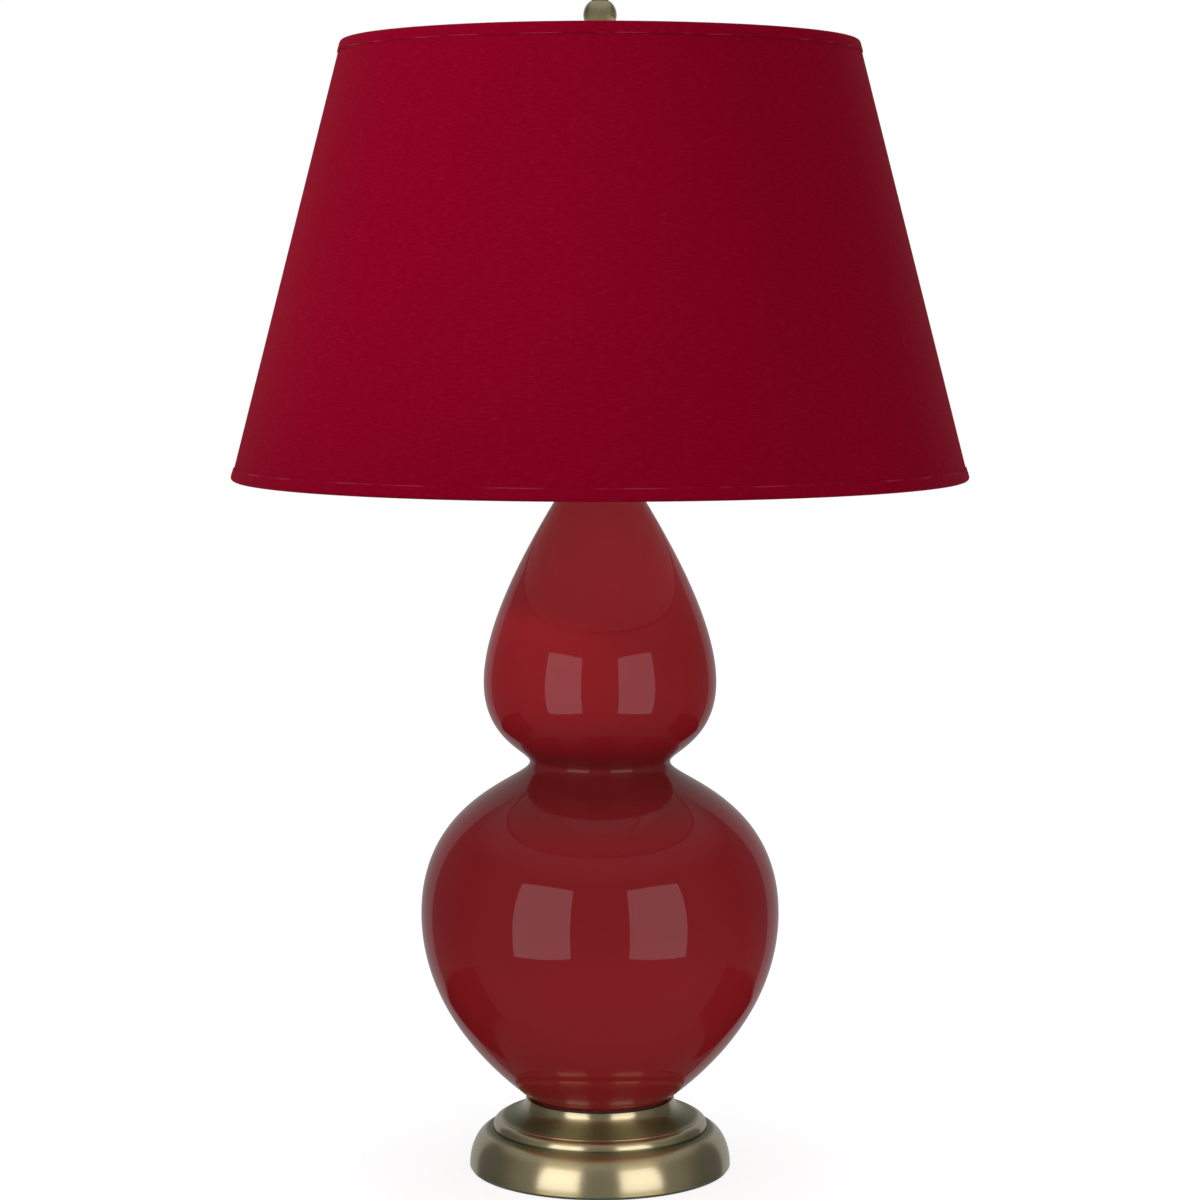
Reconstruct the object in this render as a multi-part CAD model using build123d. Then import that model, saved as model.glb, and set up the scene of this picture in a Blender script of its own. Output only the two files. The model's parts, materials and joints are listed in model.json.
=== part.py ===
from build123d import *
import os
from math import acos, atan2, cos, hypot, radians, sin, sqrt

# A double gourd table lamp, in millimetres. Z is up, the floor is z = 0, and the lamp's axis is Z.
# The front is -Y. The cord leaves through the back of the base, +Y. The harp stands in the XZ plane.

os.makedirs("parts", exist_ok=True)

# ---------------------------------------------------------------- Sizes

# Fits and gaps between pieces.
rod_clearance = 0.3  # round the threaded rod, in every piece strung on it
turning_fit = 0.05  # round a shaft or stud that turns in its hole
screw_fit = 0.3  # between a screw-in piece and its socket, threads left out
sliding_gap = 0.3  # round a piece that slides past its neighbour
glue_line = 0.05  # paste between laminated or cemented pieces
nested_gap = 0.1  # between shells that nest without turning
wire_wrap_gap = 0.3  # between the shade's wires and the fabric rolled over them
arm_slit_gap = 0.6  # round each spider arm, in the slit where it passes through the hem

# Base: one brass spinning, closed below by felt, loaded with an iron weight.
felt_thickness = 1.5
felt_margin = 1.0  # felt stops short of the brass edge
base_wall = 1.5
base_radius = 91.4
base_height = 48.5
base_edge_round = 0.7
foot_turn_in = 7.0  # brass turned in under the edge, for the felt
ovolo_width = 16.2
ovolo_height = 27.0
groove_depth = 0.6  # crease between the ovolo and the bead
groove_height = 0.7
bead_inset = 0.3  # bead stands back from the ovolo's upper edge
bead_swell = 0.75  # bead's crown, as a share of the way out from the ridge to its foot
bead_crown_share = 0.667  # and of the way up from its foot to the ridge
ridge_inset = 5.2  # ridge above the bead, back from the ovolo's upper edge
ridge_height = 34.5
ridge_step = 0.6
base_neck_radius = 52.0
cove_drop = 8.0  # how far the cove falls before it sweeps out
cove_sweep = 10.0  # how far the cove runs level before the ridge
cove_rise = 4.5
weight_height = 32.0
weight_flange_height = 12.0
weight_gap = 5.0  # from the iron to the brass round it

# Centre rod, 1/8 lamp pipe, with its fasteners under the weight.
rod_radius = 5.1
rod_bore_radius = 3.2
rod_tail = 3.0  # rod that shows below the nut
washer_radius = 14.0
washer_thickness = 1.6
lock_washer_radius = 8.6
lock_washer_thickness = 1.6
lock_washer_split = 1.6
nut_across_flats = 14.3
nut_thickness = 4.0

# Cord inlet: a bushing through the back of the base.
cord_bore_radius = 3.4
bushing_wall = 1.2
bushing_flange_radius = 6.4
bushing_proud = 1.7  # outer face of the flange, out from the brass edge
bushing_length = 12.5
bushing_rise = 6.7  # its middle, above the felt

# Double gourd: slip-cast ceramic on a rubber ring. Heights are measured from its foot.
foot_seat_thickness = 1.0
foot_seat_inset = 2.0
foot_radius = 50.0
foot_edge_round = 1.2
foot_ring_width = 7.0
foot_ring_depth = 3.0
gourd_floor = 8.0
gourd_wall = 5.0
lower_belly_radius = 124.8
lower_belly_height = 129.9
waist_radius = 48.9
waist_height = 236.1
upper_belly_radius = 80.8
upper_belly_height = 291.9
neck_radius = 19.0
neck_height = 439.0
collar_height = 8.0
# Pulls are the lengths of the curve's handles: longer is fuller.
foot_pull = 40.5
lower_belly_pull_down = 44.1
lower_belly_pull_up = 81.4
waist_pull_down = 12.7
upper_belly_pull_down = 41.2
neck_pull = 4.6

# Turned brass above the ceramic.
cap_seat_thickness = 0.8
cap_seat_width = 4.0
vase_cap_radius = 23.0
vase_cap_thickness = 5.7
vase_cap_skirt = 4.0
vase_cap_crown_radius = 12.0
vase_cap_shoulder = 4.0  # how far the dome runs level round its crown
vase_cap_edge_fall = 1.0  # how far below the crown its side starts to bend over
riser_height = 10.5
riser_foot_radius = 10.5
riser_waist_radius = 7.6
riser_head_radius = 9.0

# Harp and its saddle.
saddle_thickness = 2.0
saddle_width = 12.0
saddle_bend_radius = 1.6
saddle_tab_width = 4.0
saddle_tab_height = 13.0
harp_rise = 254.0  # saddle to shade seat, a 10 inch harp
harp_wire_radius = 1.6
harp_leg_spread = 62.0
harp_leg_straight = 39.0
harp_flare_height = 54.0
harp_spread = 112.0
harp_flare_bend = 60.0
harp_side_bend = 90.0
harp_top_bend = 40.0
harp_pad_length = 18.0
harp_pad_width = 9.0
harp_pad_thickness = 2.4
harp_pad_lap = 2.7  # wire that runs into each end of the flattened pad
ferrule_wall = 0.8
ferrule_length = 14.0

# Stud on the harp: it swivels in the harp's flattened top.
stud_shank_radius = 2.6
stud_head_radius = 4.0
stud_head_thickness = 1.5
stud_seat_radius = 8.0
stud_seat_thickness = 1.5
stud_thread_radius = 3.175
stud_thread_length = 13.0  # above the shade's hub

# Shade: fabric on styrene, rolled over two wires, hung from a three-arm spider.
shade_top_radius = 174.9
shade_bottom_radius = 252.8
shade_height = 298.0
shade_drop = 13.0  # shade seat below the shade's top edge
shade_wire_radius = 1.6
fabric_thickness = 0.6
liner_thickness = 0.9
hem_width = 7.0
spider_arms_count = 3
spider_wire_radius = 1.6
spider_hub_radius = 16.0
spider_hub_thickness = 1.5
spider_weld_lap = 7.0  # arm laid on the hub
spider_level_run = 140.0  # radius at which each arm starts to rise
spider_bend = 60.0

# Finial: a hollow spun ball on a turned stem, round a threaded insert.
finial_height = 40.5
finial_ball_radius = 11.4
finial_ball_height = 29.3
finial_ball_wall = 1.5
finial_foot_radius = 8.6
finial_foot_thickness = 2.4
finial_foot_sweep = 4.0  # height of the curve from the foot up into the stem
finial_stem_radius = 6.8
finial_bead_radius = 7.8
finial_bead_height = 13.2
finial_bead_thickness = 2.6
finial_throat_radius = 5.0
finial_crown_radius = 6.3
finial_crown_groove = 0.5
finial_crown_height = 2.1
finial_crown_flat = 4.4
finial_crown_bulge = 0.8
finial_bore_end = 1.0  # space over the end of the stud
insert_radius = 5.0
insert_length = 12.0

# Lamp socket: a medium screw socket with a turn knob.
socket_hub_radius = 7.8
socket_hub_height = 8.0
rod_in_socket = 9.0
set_screw_radius = 1.4
set_screw_length = 3.6
set_screw_height = 3.8
socket_cap_wall = 0.9
socket_bell_height = 9.0
socket_bell_flare = 1.0
socket_lip_height = 8.0
socket_shell_radius = 17.4
socket_shell_wall = 0.6
socket_shell_length = 44.0
socket_shell_bead = 0.8
socket_liner_wall = 0.5
socket_core_length = 20.0
socket_core_gap = 0.6
socket_core_start = 19.0  # above the saddle
core_flat_depth = 3.2
core_well_radius = 11.0
core_well_depth = 3.2
screw_shell_wall = 0.5
screw_shell_length = 20.0
screw_shell_lip = 2.4
contact_width = 5.0
contact_thickness = 0.5
contact_span = 15.0
terminal_head_radius = 2.8
terminal_head_length = 2.0
terminal_shank_radius = 1.5
terminal_shank_length = 4.0
spindle_radius = 2.0
spindle_height = 10.0  # above the core's foot
spindle_socket_depth = 11.0  # spindle inside the core
spindle_reach = 21.0  # spindle beyond the socket shell
knob_radius = 5.6
knob_length = 13.0
knob_bore_depth = 9.0
knob_flutes = 12
knob_flute_radius = 0.8

# Bulb: a pear-shaped globe on a medium screw cap.
bulb_cap_radius = 13.1
bulb_cap_wall = 0.4
bulb_cap_height = 24.0
bulb_tip_radius = 4.6
bulb_tip_height = 1.2
bulb_insulator_height = 3.0
bulb_insulator_foot = 7.0
bulb_globe_radius = 33.5
bulb_length = 134.0
bulb_glass_wall = 0.9
bulb_neck_radius = 12.3
bulb_neck_lap = 3.0  # glass cemented inside the cap
bulb_neck_pull = 24.0
bulb_globe_pull = 18.0
bulb_blend_angle = 35.0  # where the neck meets the globe, below its widest line

# ---------------------------------------------------------------- Heights worked out from them

base_top = felt_thickness + base_height
foot_level = base_top + foot_seat_thickness
lip_level = foot_level + neck_height + collar_height
cap_level = lip_level + cap_seat_thickness
riser_level = cap_level + vase_cap_thickness
saddle_level = riser_level + riser_height
socket_level = saddle_level + saddle_thickness
shade_seat = saddle_level + harp_rise
hub_top = shade_seat + spider_hub_thickness
shade_top = shade_seat + shade_drop
core_level = socket_level + socket_core_start
core_top = core_level + socket_core_length
spindle_level = core_level + spindle_height
rod_hole = rod_radius + rod_clearance

# ---------------------------------------------------------------- Helpers

UP = (Align.CENTER, Align.CENTER, Align.MIN)


def save(shape, node):
    """Writes one piece of the lamp under its own name."""
    shape.label = node
    export_step(shape, f"parts/{node}.step")


def turned(*outline):
    """A piece turned about the lamp's axis from its half section, drawn as radius and height."""
    return revolve(Plane.XZ * make_face(Curve() + list(outline)), axis=Axis.Z)


def disc(radius, low, high):
    """A solid round bar on the lamp's axis, from one height to another."""
    return Pos(0, 0, low) * Cylinder(radius, high - low, align=UP)


def tube(outer, inner, low, high):
    """A washer, ring or tube on the lamp's axis."""
    return disc(outer, low, high) - disc(inner, low, high)


def bar_along_y(radius, near, far, level):
    """A round bar that points along Y at a height, between two distances from the axis."""
    bar = Cylinder(radius, abs(far - near), align=UP)
    return Pos(0, min(near, far), level) * Rot(-90, 0, 0) * bar


# ---------------------------------------------------------------- Base

crease_radius = base_radius - ovolo_width
bushing_radius = cord_bore_radius + bushing_wall
bushing_level = felt_thickness + bushing_rise


def base_line(inset):
    """Half section of the spun base, or of the hollow in it when inset by the metal's thickness."""
    crease = felt_thickness + ovolo_height - inset
    bead_radius = crease_radius - bead_inset - inset
    ridge_radius = crease_radius - ridge_inset - inset
    ridge = felt_thickness + ridge_height - inset
    top = base_top - inset
    rim = base_neck_radius - inset
    ovolo = EllipticalCenterArc(
        (crease_radius, felt_thickness),
        ovolo_width - inset,
        ovolo_height - inset,
        start_angle=0,
        arc_size=90,
    )
    groove = Polyline(
        (crease_radius, crease),
        (bead_radius - groove_depth, crease),
        (bead_radius, crease + groove_height),
    )
    bead_foot = crease + groove_height
    bead_head = ridge - ridge_step
    bead_crown = (
        ridge_radius + bead_swell * (bead_radius - ridge_radius),
        bead_foot + bead_crown_share * (bead_head - bead_foot),
    )
    bead = ThreePointArc(
        (bead_radius, bead_foot),
        bead_crown,
        (ridge_radius, bead_head),
    )
    step = Line((ridge_radius, bead_head), (ridge_radius, ridge))
    cove = Bezier(
        (ridge_radius, ridge),
        (ridge_radius - cove_sweep, ridge + cove_rise),
        (rim, top - cove_drop),
        (rim, top),
    )
    closing = Polyline(
        (rim, top), (0, top), (0, felt_thickness), (base_radius - inset, felt_thickness)
    )
    return turned(ovolo, groove, bead, step, cove, closing)


base_body = base_line(0)
rim_edges = base_body.edges().filter_by(GeomType.CIRCLE).sort_by(Axis.Z)[-1:]
base_body = fillet(rim_edges, base_edge_round)
base_shell = base_body - base_line(base_wall)
turn_in = tube(
    base_radius - base_wall / 2,
    base_radius - foot_turn_in,
    felt_thickness,
    felt_thickness + base_wall,
)
inlet_hole = bar_along_y(
    bushing_radius + nested_gap, crease_radius, base_radius + bushing_proud, bushing_level
)
base_shell = base_shell + turn_in - disc(rod_hole, 0, base_top) - inlet_hole

felt_pad = disc(base_radius - felt_margin, 0, felt_thickness)

# The iron weight: a flange in the wide part of the base, and a boss up to its top plate.
weight_top = base_top - base_wall
weight_foot = weight_top - weight_height
weight_flange_radius = crease_radius - groove_depth - base_wall - weight_gap
base_weight = disc(weight_flange_radius, weight_foot, weight_foot + weight_flange_height)
base_weight += disc(base_neck_radius - base_wall - weight_gap, weight_foot, weight_top)
base_weight -= disc(rod_hole, weight_foot, weight_top)

# The bushing's flange is hollowed to sit flat on the round of the brass.
bushing_face = base_radius + bushing_proud
flange_root = base_radius - bushing_flange_radius
bushing_flange = bar_along_y(bushing_flange_radius, flange_root, bushing_face, bushing_level)
bushing_flange = bushing_flange - base_body
cord_bushing = bushing_flange + bar_along_y(
    bushing_radius, bushing_face - bushing_length, bushing_face, bushing_level
)
cord_bushing -= bar_along_y(
    cord_bore_radius, bushing_face - bushing_length, bushing_face, bushing_level
)

# ---------------------------------------------------------------- Rod and fasteners

washer_foot = weight_foot - washer_thickness
lock_washer_foot = washer_foot - lock_washer_thickness
nut_foot = lock_washer_foot - nut_thickness
rod_foot = nut_foot - rod_tail
rod_top = socket_level + rod_in_socket

centre_rod = tube(rod_radius, rod_bore_radius, rod_foot, rod_top)
rod_washer = tube(washer_radius, rod_hole, washer_foot, weight_foot)
lock_washer = tube(lock_washer_radius, rod_hole, lock_washer_foot, washer_foot)
lock_washer -= Pos(0, lock_washer_radius, lock_washer_foot) * Box(
    lock_washer_split, lock_washer_radius * 2, lock_washer_thickness, align=UP
)
nut_hexagon = RegularPolygon(nut_across_flats / 2, 6, major_radius=False)
rod_nut = Pos(0, 0, nut_foot) * extrude(nut_hexagon, nut_thickness)
rod_nut -= disc(rod_radius + glue_line, nut_foot, lock_washer_foot)

# ---------------------------------------------------------------- Ceramic double gourd

foot_hollow_radius = foot_radius - foot_seat_inset - foot_ring_width
foot_seat = tube(foot_radius - foot_seat_inset, foot_hollow_radius, base_top, foot_level)


def gourd_line(inset):
    """Solid inside the gourd's outer line, or its hollow when inset by the wall's thickness.

    Neighbouring curves share their tangent and their curvature where they meet, so that the
    glaze has no break: each second handle is worked out from the first.
    """
    start = foot_level + (gourd_floor if inset else 0)
    lower = Vector(lower_belly_radius - inset, foot_level + lower_belly_height)
    waist = Vector(waist_radius - inset, foot_level + waist_height)
    upper = Vector(upper_belly_radius - inset, foot_level + upper_belly_height)
    neck = Vector(neck_radius - inset, foot_level + neck_height)
    lower_reach = lower.X - waist.X
    upper_reach = upper.X - waist.X
    neck_reach = upper.X - neck.X
    foot_flare = lower_reach * (lower_belly_pull_down / lower_belly_pull_up) ** 2
    waist_pull_up = waist_pull_down * sqrt(upper_reach / lower_reach)
    upper_belly_pull_up = upper_belly_pull_down * sqrt(neck_reach / upper_reach)
    foot = (foot_radius - inset, start)
    curves = [
        Bezier(
            foot,
            (lower.X - foot_flare, foot_level + foot_pull),
            lower - Vector(0, lower_belly_pull_down),
            lower,
        ),
        Bezier(
            lower,
            lower + Vector(0, lower_belly_pull_up),
            waist - Vector(0, waist_pull_down + inset),
            waist,
        ),
        Bezier(
            waist,
            waist + Vector(0, waist_pull_up + inset),
            upper - Vector(0, upper_belly_pull_down),
            upper,
        ),
        Bezier(
            upper,
            upper + Vector(0, upper_belly_pull_up),
            neck - Vector(0, neck_pull),
            neck,
        ),
    ]
    closing = Polyline(neck, (neck.X, lip_level), (0, lip_level), (0, start), foot)
    return turned(*curves, closing)


gourd_outside = gourd_line(0)
foot_edge = gourd_outside.edges().filter_by(GeomType.CIRCLE).sort_by(Axis.Z)[:1]
gourd_body = fillet(foot_edge, foot_edge_round) - gourd_line(gourd_wall)
gourd_body -= disc(foot_hollow_radius, foot_level, foot_level + foot_ring_depth)
gourd_body -= disc(rod_hole, foot_level, foot_level + gourd_floor)

# ---------------------------------------------------------------- Brass above the neck

cap_seat = tube(neck_radius, neck_radius - cap_seat_width, lip_level, cap_level)

cap_dome = [
    Line((vase_cap_radius, cap_level - vase_cap_skirt), (vase_cap_radius, cap_level)),
    Bezier(
        (vase_cap_radius, cap_level),
        (vase_cap_radius, riser_level - vase_cap_edge_fall),
        (vase_cap_crown_radius + vase_cap_shoulder, riser_level),
        (vase_cap_crown_radius, riser_level),
    ),
    Polyline(
        (vase_cap_crown_radius, riser_level),
        (rod_hole, riser_level),
        (rod_hole, cap_level),
        (neck_radius + sliding_gap, cap_level),
        (neck_radius + sliding_gap, cap_level - vase_cap_skirt),
        (vase_cap_radius, cap_level - vase_cap_skirt),
    ),
]
vase_cap = turned(*cap_dome)

riser_middle = (riser_level + saddle_level) / 2
neck_riser = turned(
    Line((rod_hole, riser_level), (riser_foot_radius, riser_level)),
    Spline(
        (riser_foot_radius, riser_level),
        (riser_waist_radius, riser_middle),
        (riser_head_radius, saddle_level),
        tangents=((0, 1), (0, 1)),
    ),
    Line((riser_head_radius, saddle_level), (rod_hole, saddle_level)),
    Line((rod_hole, saddle_level), (rod_hole, riser_level)),
)

# ---------------------------------------------------------------- Harp, saddle and ferrules

leg_x = harp_leg_spread / 2
tab_inside = leg_x + harp_wire_radius + nested_gap
tab_outside = tab_inside + saddle_thickness
tab_top = socket_level + saddle_tab_height

saddle_strap = Pos(0, 0, saddle_level) * Box(
    2 * tab_outside, saddle_width, saddle_tab_height + saddle_thickness, align=UP
)
saddle_strap -= Pos(0, 0, socket_level) * Box(
    2 * tab_inside, saddle_width, saddle_tab_height, align=UP
)
bend_edges = saddle_strap.edges().filter_by(Axis.Y).group_by(Axis.Z)[0]
saddle_strap = fillet(bend_edges, saddle_bend_radius)
tab_trim_width = (saddle_width - saddle_tab_width) / 2
for side in (-1, 1):
    for edge in (-1, 1):
        trim = Box(4 * saddle_thickness, tab_trim_width, saddle_tab_height, align=UP)
        trim_y = edge * (saddle_tab_width + tab_trim_width) / 2
        saddle_strap -= Pos(side * tab_outside, trim_y, socket_level) * trim
harp_saddle = saddle_strap - disc(rod_hole, saddle_level, socket_level)

stud_seat_foot = shade_seat - stud_seat_thickness
pad_top = stud_seat_foot - turning_fit
pad_foot = pad_top - harp_pad_thickness
wire_top_level = pad_top - harp_pad_thickness / 2 - harp_wire_radius / 4
belly_x = harp_spread / 2
flare_foot = socket_level + harp_leg_straight
flare_head = flare_foot + harp_flare_height
right_side = [
    (leg_x, socket_level),
    (leg_x, flare_foot),
    (belly_x, flare_head),
    (belly_x, wire_top_level),
]
left_side = [(-x, z) for x, z in reversed(right_side)]
side_bends = [harp_flare_bend, harp_side_bend, harp_top_bend]
harp_route = FilletPolyline(
    *[Vector(x, 0, z) for x, z in right_side + left_side],
    radius=side_bends + side_bends[::-1],
)
harp_wire = sweep(Plane(harp_route @ 0, z_dir=harp_route % 0) * Circle(harp_wire_radius), harp_route)
pad_blank = Box(harp_pad_length, harp_pad_width, harp_pad_thickness, align=UP)
harp_pad = Pos(0, 0, pad_foot) * fillet(pad_blank.edges().filter_by(Axis.Z), harp_pad_width / 3)
wire_gap = Box(harp_pad_length - 2 * harp_pad_lap, harp_pad_width, 4 * harp_wire_radius)
harp_wire = harp_wire - Pos(0, 0, wire_top_level) * wire_gap + harp_pad
harp_wire -= disc(stud_shank_radius + turning_fit, pad_foot, pad_top)

# Each ferrule slips down over a harp leg and the saddle's tab, and holds them together.
ferrule_x = (leg_x - harp_wire_radius + tab_outside) / 2
ferrule_half_x = tab_outside - ferrule_x
ferrule_bore = hypot(ferrule_half_x, saddle_tab_width / 2) + sliding_gap
ferrule = Cylinder(ferrule_bore + ferrule_wall, ferrule_length, align=UP)
ferrule -= Cylinder(ferrule_bore, ferrule_length, align=UP)
ferrule = fillet(ferrule.edges().filter_by(GeomType.CIRCLE), ferrule_wall / 3)
for name, side in (("ferrule_left", -1), ("ferrule_right", 1)):
    save(Pos(side * ferrule_x, 0, socket_level) * ferrule, name)

# ---------------------------------------------------------------- Stud, spider and shade

stud_head_top = pad_foot - turning_fit
thread_top = hub_top + stud_thread_length
harp_stud = disc(stud_head_radius, stud_head_top - stud_head_thickness, stud_head_top)
harp_stud += disc(stud_shank_radius, stud_head_top - stud_head_thickness, shade_seat)
harp_stud += disc(stud_seat_radius, stud_seat_foot, shade_seat)
harp_stud += disc(stud_thread_radius, stud_seat_foot, thread_top)
thread_edge = harp_stud.edges().filter_by(GeomType.CIRCLE).sort_by(Axis.Z)[-1:]
harp_stud = chamfer(thread_edge, stud_thread_radius / 6)

slant_run = shade_bottom_radius - shade_top_radius
slant = hypot(slant_run, shade_height)
wire_hollow = shade_wire_radius + wire_wrap_gap  # inside the fabric, round a wire
roll = wire_hollow + fabric_thickness  # radius of the rolled edge
liner_outside = fabric_thickness + glue_line
liner_inside = liner_outside + liner_thickness
hem_depth = liner_inside + glue_line


def wall_point(along, depth):
    """Radius and height of a point in the shade's wall: up its slant, and in from its face."""
    level = shade_top - shade_height
    radius = shade_bottom_radius - (slant_run * along + shade_height * depth) / slant
    height = level + (shade_height * along - slant_run * depth) / slant
    return (radius, height)


def rolled_edge(at_top):
    """The fabric round the wire at one end of the shade, and its hem down to the liner.

    The hem leaves the wire as a tangent, so its lean follows from where it meets the liner.
    """
    hem_reach = hypot(hem_width - roll, hem_depth - roll)
    lean = atan2(hem_depth - roll, hem_width - roll) + acos(wire_hollow / hem_reach)
    away = Vector(cos(lean), sin(lean))
    wire = Vector(roll, roll)
    hem_end = Vector(hem_width, hem_depth)

    def spot(point):
        along = slant - point.X if at_top else point.X
        return wall_point(along, point.Y)

    def turn_round(radius):
        face = spot(wire - Vector(0, radius))
        edge = spot(wire - Vector(radius, 0))
        return ThreePointArc(face, edge, spot(wire + away * radius))

    hem = Polyline(
        spot(wire + away * roll),
        spot(hem_end + away * fabric_thickness),
        spot(hem_end),
        spot(wire + away * wire_hollow),
    )
    return [turn_round(roll), hem, turn_round(wire_hollow)]


def wall_lines(*spots):
    """Straight lines through points of the shade's wall."""
    return Polyline(*[wall_point(along, depth) for along, depth in spots])


top_roll = slant - roll
shade_fabric = turned(
    wall_lines((roll, 0), (top_roll, 0)),
    *rolled_edge(at_top=True),
    wall_lines((top_roll, fabric_thickness), (roll, fabric_thickness)),
    *rolled_edge(at_top=False),
)
shade_liner = turned(
    wall_lines(
        (2 * roll, liner_outside),
        (slant - 2 * roll, liner_outside),
        (slant - 2 * roll, liner_inside),
        (2 * roll, liner_inside),
        (2 * roll, liner_outside),
    )
)
top_ring_radius, top_ring_level = wall_point(top_roll, roll)
bottom_ring_radius, bottom_ring_level = wall_point(roll, roll)
shade_top_ring = Pos(0, 0, top_ring_level) * Torus(top_ring_radius, shade_wire_radius)
shade_bottom_ring = Pos(0, 0, bottom_ring_level) * Torus(bottom_ring_radius, shade_wire_radius)

spider_hub = tube(spider_hub_radius, stud_thread_radius + sliding_gap, shade_seat, hub_top)
arm_level = hub_top + spider_wire_radius
arm_start = spider_hub_radius - spider_weld_lap
arm_route = FilletPolyline(
    Vector(arm_start, 0, arm_level),
    Vector(spider_level_run, 0, arm_level),
    Vector(top_ring_radius, 0, top_ring_level),
    radius=spider_bend,
)


def arm(radius):
    """One spider arm along +X, or the slit for it when given more than the wire's radius."""
    return sweep(Plane(arm_route @ 0, z_dir=arm_route % 0) * Circle(radius), arm_route)


arm_turns = [Rot(0, 0, 90 + turn * 360 / spider_arms_count) for turn in range(spider_arms_count)]
welded_arms = [turn * arm(spider_wire_radius) - shade_top_ring for turn in arm_turns]
spider_arms = Compound(welded_arms)
for turn in arm_turns:
    shade_fabric -= turn * arm(spider_wire_radius + arm_slit_gap)

# ---------------------------------------------------------------- Finial

finial_top = hub_top + finial_height
ball_centre = hub_top + finial_ball_height
bead_level = hub_top + finial_bead_height
crown_foot = finial_top - finial_crown_height
crown_on_ball = sqrt(finial_ball_radius**2 - (crown_foot - ball_centre) ** 2)
throat_on_ball = ball_centre - sqrt(finial_ball_radius**2 - finial_throat_radius**2)
foot_top = hub_top + finial_foot_thickness
finial_knob = turned(
    Polyline(
        (0, hub_top),
        (finial_foot_radius, hub_top),
        (finial_foot_radius, foot_top),
    ),
    Bezier(
        (finial_foot_radius, foot_top),
        (finial_stem_radius, foot_top),
        (finial_stem_radius, foot_top + finial_foot_sweep / 2),
        (finial_stem_radius, foot_top + finial_foot_sweep),
    ),
    Line(
        (finial_stem_radius, foot_top + finial_foot_sweep),
        (finial_stem_radius, bead_level - finial_bead_thickness / 2),
    ),
    ThreePointArc(
        (finial_stem_radius, bead_level - finial_bead_thickness / 2),
        (finial_bead_radius, bead_level),
        (finial_stem_radius, bead_level + finial_bead_thickness / 2),
    ),
    Line(
        (finial_stem_radius, bead_level + finial_bead_thickness / 2),
        (finial_throat_radius, throat_on_ball),
    ),
    ThreePointArc(
        (finial_throat_radius, throat_on_ball),
        (finial_ball_radius, ball_centre),
        (crown_on_ball, crown_foot),
    ),
    Line((crown_on_ball, crown_foot), (finial_crown_radius - finial_crown_groove, crown_foot)),
    Bezier(
        (finial_crown_radius - finial_crown_groove, crown_foot),
        (finial_crown_radius, crown_foot + finial_crown_bulge),
        (finial_crown_flat + finial_crown_bulge, finial_top),
        (finial_crown_flat, finial_top),
    ),
    Line((finial_crown_flat, finial_top), (0, finial_top)),
    Line((0, finial_top), (0, hub_top)),
)
insert_top = hub_top + insert_length
finial_knob -= disc(insert_radius + turning_fit, hub_top, insert_top)
finial_knob -= disc(stud_thread_radius + sliding_gap, insert_top, thread_top + finial_bore_end)
finial_knob -= Pos(0, 0, ball_centre) * Sphere(finial_ball_radius - finial_ball_wall)
finial_insert = tube(insert_radius, stud_thread_radius + turning_fit, hub_top, insert_top)

# ---------------------------------------------------------------- Lamp socket

bell_foot = socket_level + socket_hub_height
bell_top = bell_foot + socket_bell_height
cap_lip_top = bell_top + socket_lip_height
cap_lip_radius = socket_shell_radius + nested_gap + socket_cap_wall


def cap_line(inset):
    """The socket cap's bell, or the space inside it when inset by its metal."""
    hub = socket_hub_radius - inset
    lip = cap_lip_radius - inset
    low = bell_foot + inset
    return turned(
        Polyline((0, socket_level + 2 * inset), (hub, socket_level + 2 * inset), (hub, low)),
        Bezier(
            (hub, low),
            (hub + socket_bell_flare, low + socket_bell_flare),
            (lip, low + socket_bell_flare),
            (lip, bell_top),
        ),
        Polyline((lip, bell_top), (lip, cap_lip_top), (0, cap_lip_top)),
        Line((0, cap_lip_top), (0, socket_level + 2 * inset)),
    )


hub_block = disc(socket_hub_radius - nested_gap, socket_level, socket_level + socket_hub_height)
socket_cap = cap_line(0) - cap_line(socket_cap_wall) + hub_block
socket_cap -= disc(rod_hole, socket_level, cap_lip_top)
set_screw_level = socket_level + set_screw_height
screw_tip = rod_radius + nested_gap
socket_cap -= bar_along_y(set_screw_radius + glue_line, 0, cap_lip_radius, set_screw_level)
socket_set_screw = bar_along_y(
    set_screw_radius, screw_tip, screw_tip + set_screw_length, set_screw_level
)

shell_inside = socket_shell_radius - socket_shell_wall
shell_top = bell_top + socket_shell_length
socket_shell = tube(socket_shell_radius, shell_inside, bell_top, shell_top)
bead_ring = Torus(socket_shell_radius - socket_shell_bead / 4, socket_shell_bead)
socket_shell += Pos(0, 0, shell_top - socket_shell_bead) * bead_ring - disc(
    shell_inside, bell_top, shell_top
)
liner_radius = shell_inside - nested_gap
socket_liner = tube(
    liner_radius, liner_radius - socket_liner_wall, bell_top, shell_top - 2 * socket_shell_bead
)

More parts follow.
